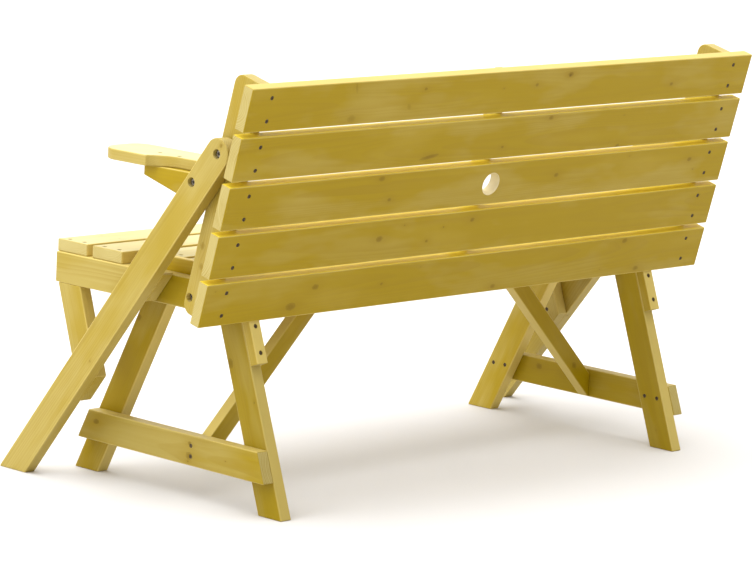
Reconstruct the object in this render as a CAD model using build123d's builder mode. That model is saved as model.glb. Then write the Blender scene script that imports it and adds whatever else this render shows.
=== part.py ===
"""Convertible picnic table bench in pine.

Two half-benches are joined by a hinged top. As a bench, the top stands up as the backrest and both
half-benches make one deep seat. Swung forward about the base pivots, the top lies level on the
armrests as a table and the front half-bench stands one table's width in front of the rear one.

Millimetres, +Z up, +X to the sitter's left, the sitter faces -Y. The origin is on the ground in
the middle of the upright bench.
"""
import os
from math import cos, degrees, atan2, radians, sin, tan

from build123d import *

os.makedirs("parts", exist_ok=True)

# --- boards ---------------------------------------------------------------------------------
stock_thickness = 26.0      # frame boards
stock_width = 57.0
upright_width = 63.0
slat_width = 81.0
top_slat_width = 83.0
slat_thickness = 23.0
arris = 2.0                 # rounding on every sawn edge

# --- tabletop, which is also the backrest ---------------------------------------------------
top_length = 1378.0
top_slats = 5
top_pitch = 93.2
slat_top = 146.5            # first slat's upper edge, along the upright from its pivot
recline = 14.5              # backrest from the vertical, in degrees
parasol_hole = 44.0
upright_top = 145.0         # the upright's ends, along it from its pivot
upright_bottom = -315.0
upright_corner_radius = 20.0
batten_thickness = 20.0     # short battens on edge, above and below the parasol hole
batten_depth = 30.0
batten_spans = {"upper": (134.5, -55.5), "lower": (-105.5, -253.5)}

# --- seats ----------------------------------------------------------------------------------
seat_pitch = 96.0
seat_underside = 425.0
rear_seat_drop = 0.5        # the front seat rests clear over the rear bench's rails
front_slat_length = 1296.0
rear_slat_length = 1170.0
seat_end_thickness = 12.0   # board over the rear slats' ends
seat_end_depth = 33.0
seat_front_y = -217.0

# --- layers across one end, as distances from the middle ------------------------------------
leg_inner = 533.0           # rear bench's legs
rail_inner = leg_inner + stock_thickness
arm_inner = 598.0           # swing arm
upright_inner = arm_inner + stock_thickness
outer_frame_inner = 627.0   # front seat rail, short leg and armrest bracket
long_leg_inner = outer_frame_inner + stock_thickness

# --- pivots ---------------------------------------------------------------------------------
top_pivot = (230.0, 664.5)          # (y, z): long leg to upright
base_pivot_height = 392.5           # swing arm to rear seat rail
top_pivot_to_front_edge = 25.0
fold_angle = 90.0 + recline
# The top pivot must come back to its own height when the top has turned by fold_angle.
base_pivot_reach = (top_pivot[1] - base_pivot_height) / tan(radians((180.0 - fold_angle) / 2))
base_pivot = (top_pivot[0] - base_pivot_reach, base_pivot_height)

# --- rear bench -----------------------------------------------------------------------------
front_foot_y = -247.0
front_foot_lean = 26.6
rear_foot_y = 252.0
rear_foot_lean = 19.75
cross_rail_bottom = 66.5
brace_width = 36.0
brace_thickness = 24.0
brace_slope = 45.0
brace_middles = {"left": 102.0, "right": 49.0}  # the two braces stand at different depths
brace_foot_height = 68.0
brace_crown_height = 114.5          # where the brace's upper edge meets the cross rail
seat_batten_inner = 200.0
stop_thickness = 20.0               # backrest stop on the rear leg's edge
stop_bottom = 269.0
batten_inset = 4.0                  # seat battens end this far inside the seat's edges

# --- front bench ----------------------------------------------------------------------------
long_leg_foot_y = -290.0            # where the long leg's middle line meets the ground
front_rail_front_y = -214.5
short_leg_front_y = -207.0
short_leg_lean = 18.8
centre_batten_height = 45.0

# --- armrest --------------------------------------------------------------------------------
armrest_bottom = 618.0
armrest_thickness = 21.0
armrest_inner = 570.0
armrest_outer = 673.5
armrest_tail_outer = 641.0
armrest_front_y = -87.0
armrest_taper_y = (40.0, 100.0)
armrest_taper_middle = (651.0, 63.0)     # the taper is a hollow curve through this point
armrest_outer_radius = 43.0
armrest_inner_radius = 30.0
armrest_arris = 3.0
bracket_front_y = 15.0
bracket_nose = 20.0
bracket_heel_y = 155.0              # where the bracket's sloping edge reaches its full depth
bracket_back_gap = 4.0              # bracket and armrest stop this far in front of the upright
armrest_bolt = (168.0, 606.0)

# --- fasteners ------------------------------------------------------------------------------
screw_radius = 2.0
screw_head_radius = 4.0
screw_head_height = 2.3
screw_recess = 0.5
screw_bore = 2.1
screw_sink = 4.6
screw_length = 42.0
screw_end_gap = 1.0
end_screw_length = 80.0
cross_width = 4.6
cross_slot = 0.9
cross_depth = 2.4
bolt_radius = 4.0
bolt_hole = 4.05
pivot_hole = 4.08
head_radius = 6.5
head_height = 5.5
socket_radius = 3.4
nut_across_flats = 13.0
nut_height = 6.5
washer_radius = 8.4
washer_thickness = 1.6
counterbore = 9.0
joint_counterbore = 8.0
counterbore_depth = 13.0
running_gap = 0.3
bolt_tail = 2.0
joint_bolts_y = (145.0, 184.0)      # the pair that holds each swing arm to its upright
spacer_radius = 14.0
top_spacer_radius = 12.0
arm_nut_depth = 10.0
arm_counterbore_depth = 9.0
joint_bolt_inset = 1.0              # the joint bolts end inside the swing arm's recess
arm_inset = 2.0                     # the swing arm's end stays inside the upright's back edge

# --- screw rows -----------------------------------------------------------------------------
seat_screw_spread = 20.0
top_screw_spread = 22.0
leg_screw_spread = 16.0
brace_screw_spread = 6.0
batten_screws_along = {"upper": (106.5, 12.5), "lower": (-173.5, -239.5)}
leg_screw_heights = (100.0, 396.0)
stop_screw_heights = (288.0, 334.0)
brace_screw_heights = (84.0, 104.0)
brace_head_screw_height = 411.0
rail_screw_points = ((10.0, 396.0), (36.0, 396.0))
short_leg_screw_points = ((-121.0, 240.0), (-125.0, 212.0))
bracket_screw_point = (150.0, 585.0)
armrest_screws_y = (34.0, 85.0, 148.0)
armrest_screw_x = 632.0
front_slat_screw_x = 636.0
end_screw_y = -175.0

SIDES = (("left", 1), ("right", -1))

# --- derived places -------------------------------------------------------------------------
up = (sin(radians(recline)), cos(radians(recline)))         # along the upright
forward = (-up[1], up[0])                                   # from the upright to the sitter
long_leg_lean = degrees(atan2(top_pivot[0] - long_leg_foot_y, top_pivot[1]))
parasol_slat = top_slats // 2
upright_back = top_pivot_to_front_edge - upright_width
top_back = upright_back - slat_thickness
top_lower_edge = slat_top - (top_slats - 1) * top_pitch - top_slat_width
backward = (-forward[0], -forward[1])
rear_underside = seat_underside - rear_seat_drop
rear_seat_top = rear_underside + slat_thickness
front_seat_top = seat_underside + slat_thickness
slats_y = [seat_front_y + slat_width / 2 + seat_pitch * index for index in range(4)]
front_slats_y = slats_y[:2]
rear_slats_y = slats_y[2:]
rail_middle = rail_inner + stock_thickness / 2
rail_outer = rail_inner + stock_thickness
arm_outer = arm_inner + stock_thickness
upright_middle = upright_inner + stock_thickness / 2
upright_outer = upright_inner + stock_thickness
long_leg_outer = long_leg_inner + stock_thickness
seat_batten_middle = seat_batten_inner + stock_thickness / 2
seat_batten_outer = seat_batten_inner + stock_thickness
seat_end_outer = rail_outer + seat_end_thickness
armrest_top = armrest_bottom + armrest_thickness


def on_upright(along, ahead):
    """(y, z) of a point given along the upright and ahead of it, from the top pivot."""
    return (top_pivot[0] + along * up[0] + ahead * forward[0],
            top_pivot[1] + along * up[1] + ahead * forward[1])


def lean_line(foot_y, lean):
    """A line from the ground at foot_y, leaning back by lean degrees: a point and a direction."""
    return (foot_y, 0.0), (sin(radians(lean)), cos(radians(lean)))


def upright_line(ahead):
    """The line beside the upright, ahead of its pivot by that much."""
    return on_upright(0.0, ahead), up


def level(height):
    """A level line at a height."""
    return (0.0, height), (1.0, 0.0)


def meet(first, second):
    """(y, z) where two lines cross."""
    (py, pz), (dy, dz) = first
    (qy, qz), (ey, ez) = second
    step = ((qy - py) * ez - (qz - pz) * ey) / (dy * ez - dz * ey)
    return (py + step * dy, pz + step * dz)


def across(width, lean):
    """Level width of a leaning board."""
    return width / cos(radians(lean))


front_leg_front = lean_line(front_foot_y, front_foot_lean)
front_leg_back = lean_line(front_foot_y + across(stock_width, front_foot_lean), front_foot_lean)
rear_leg_front = lean_line(rear_foot_y, -rear_foot_lean)
rear_leg_back = lean_line(rear_foot_y + across(stock_width, rear_foot_lean), -rear_foot_lean)
long_leg_front = lean_line(long_leg_foot_y - across(stock_width, long_leg_lean) / 2,
                           long_leg_lean)
long_leg_back = lean_line(long_leg_foot_y + across(stock_width, long_leg_lean) / 2, long_leg_lean)
behind = (rear_leg_back[1][1], -rear_leg_back[1][0])        # square to the rear leg's back edge


def from_rear_leg(height, distance):
    """(y, z) at a distance behind the rear leg's edge, square to it from that height."""
    y, z = meet(rear_leg_back, level(height))
    return (y + behind[0] * distance, z + behind[1] * distance)


def save(piece, node):
    """Label a finished piece and write its STEP file."""
    piece.part.label = node
    export_step(piece.part, f"parts/{node}.step")


def edge_board(outline, inner, side, apex=None, rounded=()):
    """A frame board on edge, from its inner face outward.

    The outline is in (y, z). With an apex its last and first points are joined by an arc over
    it. The outline's corners in rounded get the upright's corner radius.
    """
    with BuildPart() as board:
        with BuildSketch(Plane.YZ.offset(side * inner)) as profile:
            with BuildLine():
                if apex:
                    Polyline(*outline)
                    ThreePointArc(outline[-1], apex, outline[0])
                else:
                    Polyline(*outline, close=True)
            make_face()
            for corner in rounded:
                fillet(profile.vertices().sort_by_distance((*corner, 0))[0], upright_corner_radius)
        extrude(amount=side * stock_thickness)
        fillet(board.edges(), arris)
    return board.part


def between(front, back, low, high):
    """Outline between two leaning lines and two level ones."""
    return [meet(front, low), meet(back, low), meet(back, high), meet(front, high)]


def screw_from(point, direction):
    """Place of a screw: its head at the point, driven along the direction."""
    return Plane(origin=point, z_dir=tuple(-part for part in direction))


def bore_screws(places, length=screw_length):
    """Countersunk bores for screws, in the part being built."""
    with Locations(*[place.location for place in places]):
        CounterSinkHole(screw_bore, screw_sink, depth=length + screw_end_gap)


def bore(face, points, radius, depth, outward):
    """Bores along X from the face at X = face, for bolts, their heads or their nuts."""
    for y, z in points:
        with Locations(Plane(origin=(face, y, z), z_dir=(outward, 0, 0)).location):
            Hole(radius, depth=depth)


def screw_set(screws_by_length, node):
    """A set of countersunk cross-head wood screws."""
    with BuildPart() as screws:
        for length, places in screws_by_length:
            with Locations(*[place.offset(-screw_recess).location for place in places]):
                Cylinder(screw_radius, length, align=(Align.CENTER, Align.CENTER, Align.MAX))
                Cone(screw_radius, screw_head_radius, screw_head_height,
                     align=(Align.CENTER, Align.CENTER, Align.MAX))
                Box(cross_width, cross_slot, cross_depth, mode=Mode.SUBTRACT)
                Box(cross_slot, cross_width, cross_depth, mode=Mode.SUBTRACT)
    save(screws, node)


def both_sides(distance, points, outward=1):
    """Places at a distance from the middle on both sides, facing outward, or inward with -1."""
    return [Plane(origin=(side * distance, y, z), z_dir=(side * outward, 0, 0))
            for _, side in SIDES for y, z in points]


def bolt_set(head_seat, end, points, node):
    """Socket-head bolts along X, from the head's seat inward to the bolt's end."""
    with BuildPart() as bolts:
        with Locations(*[place.location for place in both_sides(head_seat, points)]):
            Cylinder(bolt_radius, head_seat - end, align=(Align.CENTER, Align.CENTER, Align.MAX))
            Cylinder(head_radius, head_height, align=(Align.CENTER, Align.CENTER, Align.MIN))
        with BuildSketch(*both_sides(head_seat + head_height, points)):
            RegularPolygon(socket_radius, 6)
        extrude(amount=-head_height / 2, mode=Mode.SUBTRACT)
    save(bolts, node)


def nut_set(seat, points, node):
    """Hexagon nuts that stand inward from the seat."""
    with BuildPart() as nuts:
        with BuildSketch(*both_sides(seat, points, -1)):
            RegularPolygon(nut_across_flats / 2, 6, major_radius=False)
            Circle(bolt_hole, mode=Mode.SUBTRACT)
        extrude(amount=nut_height)
    save(nuts, node)


def ring_set(radius, spans, points, node):
    """Washers or spacers between pairs of distances from the middle."""
    with BuildPart() as rings:
        for near, far in spans:
            with BuildSketch(*both_sides(near, points)):
                Circle(radius)
                Circle(bolt_hole, mode=Mode.SUBTRACT)
            extrude(amount=far - near)
    save(rings, node)


# --- screw places ---------------------------------------------------------------------------
def seat_screws(x, middles, top):
    """Screws down through seat slats into the board below, two to a slat, at X = x."""
    return [screw_from((x, middle + shift, top), (0, 0, -1))
            for middle in middles for shift in (-seat_screw_spread, seat_screw_spread)]


def top_screws(index, x):
    """The two screws through one top slat's rear face into an upright."""
    middle = slat_top - top_slat_width / 2 - index * top_pitch
    return [screw_from((x, *on_upright(middle + shift, top_back)), (0, *forward))
            for shift in (-top_screw_spread, top_screw_spread)]


def batten_screws(name):
    """Screws through a top batten's front edge into the slats."""
    return [screw_from((0, *on_upright(along, upright_back + batten_depth)), (0, *backward))
            for along in batten_screws_along[name]]


def leg_screws(side, front, back):
    """Screws from inside through a leg into the cross rail and the seat rail."""
    places = []
    for height in leg_screw_heights:
        middle = (meet(front, level(height))[0] + meet(back, level(height))[0]) / 2
        places += [screw_from((side * leg_inner, middle + shift, height), (side, 0, 0))
                   for shift in (-leg_screw_spread, leg_screw_spread)]
    return places


def stop_screws(side):
    """Screws through a backrest stop into the rear leg's edge."""
    x = side * (leg_inner + stock_thickness / 2)
    return [screw_from((x, *from_rear_leg(height, stop_thickness)), (0, -behind[0], -behind[1]))
            for height in stop_screw_heights]


def brace_screws(side, middle):
    """Screws through the cross rail and the seat batten into the two ends of a brace."""
    foot = [screw_from((side * rail_outer, middle - brace_screw_spread, height), (-side, 0, 0))
            for height in brace_screw_heights]
    head = [screw_from((side * seat_batten_inner, middle + shift, brace_head_screw_height),
                       (side, 0, 0))
            for shift in (-brace_screw_spread, brace_screw_spread)]
    return foot + head


def seat_end_screws(side):
    """Screws through the board over the rear slats' ends, one into each slat."""
    return [screw_from((side * seat_end_outer, middle, rear_underside + slat_thickness / 2),
                       (-side, 0, 0))
            for middle in rear_slats_y]


def outward_screws(side, points):
    """Screws from the inner face of the front bench's inner boards into the long leg."""
    return [screw_from((side * outer_frame_inner, y, z), (side, 0, 0)) for y, z in points]


def end_screws(side):
    """The long screw down through the front seat rail into the short leg."""
    x = side * (outer_frame_inner + stock_thickness / 2)
    return [screw_from((x, end_screw_y, seat_underside), (0, 0, -1))]


def armrest_screws(side):
    """Screws down through an armrest into its bracket."""
    return [screw_from((side * armrest_screw_x, y, armrest_top), (0, 0, -1))
            for y in armrest_screws_y]


# --- rear bench -----------------------------------------------------------------------------
rear_bench_screws = []
for name, side in SIDES:
    front_leg_screws = leg_screws(side, front_leg_front, front_leg_back)
    rear_leg_screws = leg_screws(side, rear_leg_front, rear_leg_back)
    rail_slat_screws = seat_screws(side * rail_middle, rear_slats_y, rear_seat_top)
    batten_slat_screws = seat_screws(side * seat_batten_middle, rear_slats_y, rear_seat_top)
    rear_bench_screws += (front_leg_screws + rear_leg_screws + rail_slat_screws
                          + batten_slat_screws + stop_screws(side) + seat_end_screws(side)
                          + brace_screws(side, brace_middles[name]))

    outline = between(front_leg_front, front_leg_back, level(0), level(rear_underside))
    with BuildPart() as rear_bench_front_leg:
        add(edge_board(outline, leg_inner, side))
        bore_screws(front_leg_screws)
    save(rear_bench_front_leg, f"rear_bench_front_leg_{name}")

    outline = between(rear_leg_front, rear_leg_back, level(0), level(rear_underside))
    with BuildPart() as rear_bench_rear_leg:
        add(edge_board(outline, leg_inner, side))
        bore_screws(rear_leg_screws + stop_screws(side))
    save(rear_bench_rear_leg, f"rear_bench_rear_leg_{name}")

    outline = between(front_leg_front, rear_leg_back,
                      level(cross_rail_bottom), level(cross_rail_bottom + stock_width))
    with BuildPart() as cross_rail:
        add(edge_board(outline, rail_inner, side))
        bore_screws(front_leg_screws + rear_leg_screws + brace_screws(side, brace_middles[name]))
    save(cross_rail, f"cross_rail_{name}")

    outline = between(((base_pivot[0] - stock_width / 2, 0.0), (0.0, 1.0)), rear_leg_back,
                      level(rear_underside - stock_width), level(rear_underside))
    with BuildPart() as rear_seat_rail:
        add(edge_board(outline, rail_inner, side))
        bore(side * rail_outer, [base_pivot], bolt_hole, stock_thickness, side)
        bore_screws(front_leg_screws + rear_leg_screws + rail_slat_screws)
    save(rear_seat_rail, f"rear_seat_rail_{name}")

    # The stop stands on the rear leg's edge, bevelled to the lowest top slat's edge.
    stop_head = (on_upright(top_lower_edge - 2 * running_gap, 0.0), forward)
    stop_foot = meet(rear_leg_back, level(stop_bottom))
    stop_back = ((stop_foot[0] + behind[0] * stop_thickness,
                  stop_foot[1] + behind[1] * stop_thickness), rear_leg_back[1])
    outline = [stop_foot, stop_back[0], meet(stop_back, stop_head), meet(rear_leg_back, stop_head)]
    with BuildPart() as backrest_stop:
        add(edge_board(outline, leg_inner, side))
        bore_screws(stop_screws(side))
    save(backrest_stop, f"backrest_stop_{name}")

    # The brace rises from the cross rail to the batten under the seat. At this slope x + z is
    # the same all along each of its edges.
    upper_sum = rail_inner + brace_crown_height
    lower_sum = upper_sum - across(brace_width, brace_slope)
    outline = [(side * x, z) for x, z in (
        (rail_inner, brace_foot_height), (rail_inner, brace_crown_height),
        (upper_sum - rear_underside, rear_underside), (seat_batten_outer, rear_underside),
        (seat_batten_outer, lower_sum - seat_batten_outer),
        (lower_sum - brace_foot_height, brace_foot_height))]
    with BuildPart() as diagonal_brace:
        with BuildSketch(Plane.XZ.offset(-brace_middles[name])):
            with BuildLine():
                Polyline(*outline, close=True)
            make_face()
        extrude(amount=brace_thickness / 2, both=True)
        fillet(diagonal_brace.edges(), arris)
        bore_screws(brace_screws(side, brace_middles[name]))
    save(diagonal_brace, f"diagonal_brace_{name}")

    with BuildPart() as rear_seat_batten:
        with Locations((side * seat_batten_middle, sum(rear_slats_y) / 2, rear_underside)):
            Box(stock_thickness, seat_pitch + slat_width - 2 * batten_inset, stock_width,
                align=(Align.CENTER, Align.CENTER, Align.MAX))
        fillet(rear_seat_batten.edges(), arris)
        bore_screws(batten_slat_screws + brace_screws(side, brace_middles[name]))
    save(rear_seat_batten, f"rear_seat_batten_{name}")

    with BuildPart() as rear_seat_end:
        with Locations((side * (rail_outer + seat_end_thickness / 2), sum(rear_slats_y) / 2,
                        rear_seat_top)):
            Box(seat_end_thickness, seat_pitch + slat_width, seat_end_depth,
                align=(Align.CENTER, Align.CENTER, Align.MAX))
        fillet(rear_seat_end.edges(), arris)
        bore_screws(seat_end_screws(side))
    save(rear_seat_end, f"rear_seat_end_{name}")

for number, middle in enumerate(rear_slats_y, start=1):
    with BuildPart() as rear_seat_slat:
        with Locations((0, middle, rear_underside)):
            Box(rear_slat_length, slat_width, slat_thickness,
                align=(Align.CENTER, Align.CENTER, Align.MIN))
        fillet(rear_seat_slat.edges(), arris)
        for x in (-rail_middle, -seat_batten_middle, seat_batten_middle, rail_middle):
            bore_screws(seat_screws(x, [middle], rear_seat_top))
        for _, side in SIDES:
            bore_screws(seat_end_screws(side))
    save(rear_seat_slat, f"rear_seat_slat_{number}")

screw_set([(screw_length, rear_bench_screws)], "rear_bench_screws")

# The base pivot bolts stay with the rear bench, and the swing arms turn on them.
base_seat = arm_outer - arm_counterbore_depth + running_gap + washer_thickness
base_nut_seat = rail_inner - washer_thickness
bolt_set(base_seat, base_nut_seat - nut_height - bolt_tail, [base_pivot], "base_pivot_bolts")
nut_set(base_nut_seat, [base_pivot], "base_pivot_nuts")
ring_set(washer_radius, [(base_nut_seat, rail_inner), (base_seat - washer_thickness, base_seat)],
         [base_pivot], "base_pivot_washers")
ring_set(spacer_radius, [(rail_outer, arm_inner - running_gap)],
         [base_pivot], "base_pivot_spacers")

# --- tabletop -------------------------------------------------------------------------------
joint_points = [(y, base_pivot_height) for y in joint_bolts_y]
batten_places = batten_screws("upper") + batten_screws("lower")
tabletop_screws = list(batten_places)
for name, side in SIDES:
    slat_screws = [place for index in range(top_slats)
                   for place in top_screws(index, side * upright_middle)]
    tabletop_screws += slat_screws

    front_corners = [on_upright(upright_top, top_pivot_to_front_edge),
                     on_upright(upright_bottom, top_pivot_to_front_edge)]
    outline = [*front_corners, on_upright(upright_bottom, upright_back),
               on_upright(upright_top, upright_back)]
    with BuildPart() as upright:
        add(edge_board(outline, upright_inner, side, rounded=front_corners))
        bore(side * upright_outer, [top_pivot], pivot_hole, stock_thickness, side)
        bore(side * upright_outer, joint_points, bolt_hole, stock_thickness, side)
        bore(side * upright_outer, joint_points, joint_counterbore, counterbore_depth, side)
        bore_screws(slat_screws)
    save(upright, f"upright_{name}")

    arm_low = level(base_pivot_height - stock_width / 2)
    arm_high = level(base_pivot_height + stock_width / 2)
    arm_end = upright_line(upright_back + arm_inset)
    outline = [(base_pivot[0], arm_low[0][1]), meet(arm_end, arm_low), meet(arm_end, arm_high),
               (base_pivot[0], arm_high[0][1])]
    with BuildPart() as swing_arm:
        add(edge_board(outline, arm_inner, side,
                       apex=(base_pivot[0] - stock_width / 2, base_pivot[1])))
        bore(side * arm_outer, [base_pivot], pivot_hole, stock_thickness, side)
        bore(side * arm_outer, [base_pivot], counterbore, arm_counterbore_depth, side)
        bore(side * arm_outer, joint_points, bolt_hole, stock_thickness, side)
        bore(side * arm_inner, joint_points, counterbore, arm_nut_depth, -side)
    save(swing_arm, f"swing_arm_{name}")

for index in range(top_slats):
    middle = slat_top - top_slat_width / 2 - index * top_pitch
    rear_face = Plane(origin=(0, *on_upright(middle, top_back)), x_dir=(1, 0, 0),
                      z_dir=(0, *backward))
    with BuildPart() as top_slat:
        with Locations(rear_face.location):
            Box(top_length, top_slat_width, slat_thickness,
                align=(Align.CENTER, Align.CENTER, Align.MAX))
        fillet(top_slat.edges(), arris)
        for x in (-upright_middle, upright_middle):
            bore_screws(top_screws(index, x))
        if index == parasol_slat:
            with Locations(rear_face.location):
                Hole(parasol_hole / 2, depth=slat_thickness)
        else:
            bore_screws(batten_places)
    save(top_slat, f"top_slat_{index + 1}")

for name, (high_end, low_end) in batten_spans.items():
    front_edge = Plane(origin=(0, *on_upright((high_end + low_end) / 2, upright_back)),
                       x_dir=(1, 0, 0), z_dir=(0, *forward))
    with BuildPart() as top_batten:
        with Locations(front_edge.location):
            Box(batten_thickness, high_end - low_end, batten_depth,
                align=(Align.CENTER, Align.CENTER, Align.MIN))
        fillet(top_batten.edges(), arris)
        bore_screws(batten_screws(name))
    save(top_batten, f"top_batten_{name}")

screw_set([(screw_length, tabletop_screws)], "tabletop_screws")

# Two bolts make each swing arm and upright one crank.
joint_seat = upright_outer - counterbore_depth
joint_nut_seat = arm_inner + arm_nut_depth - washer_thickness
bolt_set(joint_seat, arm_inner + joint_bolt_inset, joint_points, "joint_bolts")
nut_set(joint_nut_seat, joint_points, "joint_nuts")
ring_set(washer_radius, [(joint_nut_seat, joint_nut_seat + washer_thickness)],
         joint_points, "joint_washers")

# --- front bench ----------------------------------------------------------------------------
front_bench_screws = seat_screws(0, front_slats_y, front_seat_top)
end_screw_places = []
for name, side in SIDES:
    slat_screws = seat_screws(side * front_slat_screw_x, front_slats_y, front_seat_top)
    rail_screws = outward_screws(side, rail_screw_points)
    foot_screws = outward_screws(side, short_leg_screw_points)
    bracket_screws = outward_screws(side, [bracket_screw_point])
    front_bench_screws += (slat_screws + rail_screws + foot_screws + bracket_screws
                           + armrest_screws(side))
    end_screw_places += end_screws(side)

    axis = (sin(radians(long_leg_lean)), cos(radians(long_leg_lean)))
    half = stock_width / 2
    outline = [(top_pivot[0] - axis[1] * half, top_pivot[1] + axis[0] * half),
               meet(long_leg_front, level(0)), meet(long_leg_back, level(0)),
               (top_pivot[0] + axis[1] * half, top_pivot[1] - axis[0] * half)]
    with BuildPart() as long_leg:
        add(edge_board(outline, long_leg_inner, side,
                       apex=(top_pivot[0] + axis[0] * half, top_pivot[1] + axis[1] * half)))
        bore(side * long_leg_outer, [top_pivot, armrest_bolt], bolt_hole, stock_thickness, side)
        bore(side * long_leg_outer, [top_pivot, armrest_bolt], counterbore, counterbore_depth,
             side)
        bore_screws(rail_screws + foot_screws + bracket_screws)
    save(long_leg, f"long_leg_{name}")

    outline = between(((front_rail_front_y, 0.0), (0.0, 1.0)), long_leg_back,
                      level(seat_underside - stock_width), level(seat_underside))
    with BuildPart() as front_seat_rail:
        add(edge_board(outline, outer_frame_inner, side))
        bore_screws(slat_screws + rail_screws)
        bore_screws(end_screws(side), end_screw_length)
    save(front_seat_rail, f"front_seat_rail_{name}")

    rail_bottom = level(seat_underside - stock_width)
    lean = (-sin(radians(short_leg_lean)), cos(radians(short_leg_lean)))
    front = ((short_leg_front_y, rail_bottom[0][1]), lean)
    back = ((short_leg_front_y + across(stock_width, short_leg_lean), rail_bottom[0][1]), lean)
    outline = between(front, back, long_leg_back, rail_bottom)
    with BuildPart() as short_leg:
        add(edge_board(outline, outer_frame_inner, side))
        bore_screws(foot_screws)
        bore_screws(end_screws(side), end_screw_length)
    save(short_leg, f"short_leg_{name}")

    bracket_end = upright_line(top_pivot_to_front_edge + bracket_back_gap)
    outline = [(bracket_front_y, armrest_bottom), (bracket_front_y, armrest_bottom - bracket_nose),
               (bracket_heel_y, armrest_bottom - stock_width),
               meet(bracket_end, level(armrest_bottom - stock_width)),
               meet(bracket_end, level(armrest_bottom))]
    with BuildPart() as armrest_bracket:
        add(edge_board(outline, outer_frame_inner, side))
        bore(side * long_leg_inner, [armrest_bolt], bolt_hole, stock_thickness, side)
        bore_screws(bracket_screws + armrest_screws(side))
    save(armrest_bracket, f"armrest_bracket_{name}")

    armrest_end = meet(bracket_end, level(armrest_bottom))[0]
    outline = [(side * x, y) for x, y in (
        (armrest_tail_outer, armrest_taper_y[1]), (armrest_tail_outer, armrest_end),
        (armrest_inner, armrest_end), (armrest_inner, armrest_front_y),
        (armrest_outer, armrest_front_y), (armrest_outer, armrest_taper_y[0]))]
    taper_middle = (side * armrest_taper_middle[0], armrest_taper_middle[1])
    with BuildPart() as armrest:
        with BuildSketch(Plane.XY.offset(armrest_bottom)) as profile:
            with BuildLine():
                Polyline(*outline)
                ThreePointArc(outline[-1], taper_middle, outline[0])
            make_face()
            for corner, radius in ((outline[3], armrest_inner_radius),
                                   (outline[4], armrest_outer_radius)):
                fillet(profile.vertices().sort_by_distance((*corner, 0))[0], radius)
        extrude(amount=armrest_thickness)
        fillet(armrest.edges(), armrest_arris)
        bore_screws(armrest_screws(side))
    save(armrest, f"armrest_{name}")

for number, middle in enumerate(front_slats_y, start=1):
    with BuildPart() as front_seat_slat:
        with Locations((0, middle, seat_underside)):
            Box(front_slat_length, slat_width, slat_thickness,
                align=(Align.CENTER, Align.CENTER, Align.MIN))
        fillet(front_seat_slat.edges(), arris)
        for x in (-front_slat_screw_x, 0, front_slat_screw_x):
            bore_screws(seat_screws(x, [middle], front_seat_top))
    save(front_seat_slat, f"front_seat_slat_{number}")

with BuildPart() as front_seat_batten:
    with Locations((0, sum(front_slats_y) / 2, seat_underside)):
        Box(stock_thickness, seat_pitch + slat_width - 2 * batten_inset, centre_batten_height,
            align=(Align.CENTER, Align.CENTER, Align.MAX))
    fillet(front_seat_batten.edges(), arris)
    bore_screws(seat_screws(0, front_slats_y, front_seat_top))
save(front_seat_batten, "front_seat_batten")

screw_set([(screw_length, front_bench_screws), (end_screw_length, end_screw_places)],
          "front_bench_screws")

# The top pivot bolts stay with the front bench, and the uprights turn on them.
outer_seat = long_leg_outer - counterbore_depth + washer_thickness
top_nut_seat = upright_inner - running_gap - washer_thickness
bolt_set(outer_seat, top_nut_seat - nut_height - bolt_tail, [top_pivot], "top_pivot_bolts")
nut_set(top_nut_seat, [top_pivot], "top_pivot_nuts")
ring_set(washer_radius,
         [(top_nut_seat, top_nut_seat + washer_thickness),
          (outer_seat - washer_thickness, outer_seat)],
         [top_pivot], "top_pivot_washers")
ring_set(top_spacer_radius, [(upright_outer + running_gap, long_leg_inner)],
         [top_pivot], "top_pivot_spacers")

armrest_nut_seat = outer_frame_inner - washer_thickness
bolt_set(outer_seat, armrest_nut_seat - nut_height - bolt_tail, [armrest_bolt], "armrest_bolts")
nut_set(armrest_nut_seat, [armrest_bolt], "armrest_nuts")
ring_set(washer_radius,
         [(armrest_nut_seat, outer_frame_inner), (outer_seat - washer_thickness, outer_seat)],
         [armrest_bolt], "armrest_washers")
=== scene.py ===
"""Looks of a convertible picnic table bench: stained pine, plated fasteners, light and camera.

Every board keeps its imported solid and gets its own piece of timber: rings about a pith, knots,
fibre and stain follow the board's own grain. The screws, bolts, nuts and washers are rebuilt with
Geometry Nodes where their solids stand. Metres, +Z up, the sitter faces -Y.
"""
import logging
import math
import random
from dataclasses import dataclass, field
from enum import Enum
from itertools import count
from typing import Callable, Dict, Iterator, List, Optional, Sequence, Tuple, Union

import bpy
import numpy as np
from mathutils import Matrix, Vector


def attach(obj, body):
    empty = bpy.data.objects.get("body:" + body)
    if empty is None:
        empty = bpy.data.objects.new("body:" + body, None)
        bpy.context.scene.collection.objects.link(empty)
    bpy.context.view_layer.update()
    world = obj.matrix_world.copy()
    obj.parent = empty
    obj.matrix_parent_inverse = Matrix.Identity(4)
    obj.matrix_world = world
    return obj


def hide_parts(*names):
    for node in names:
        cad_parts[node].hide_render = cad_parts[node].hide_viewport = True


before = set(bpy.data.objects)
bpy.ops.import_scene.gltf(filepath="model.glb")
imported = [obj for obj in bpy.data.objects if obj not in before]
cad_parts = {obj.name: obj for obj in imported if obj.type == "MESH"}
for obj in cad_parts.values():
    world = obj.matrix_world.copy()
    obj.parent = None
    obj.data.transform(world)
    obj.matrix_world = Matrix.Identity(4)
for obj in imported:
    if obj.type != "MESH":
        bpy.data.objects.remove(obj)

LOG = logging.getLogger("bench")
SIDES = ("left", "right")
X, Y, Z = Vector((1, 0, 0)), Vector((0, 1, 0)), Vector((0, 0, 1))
Colour = Tuple[float, float, float, float]
Number = Union[float, "Signal"]


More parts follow.
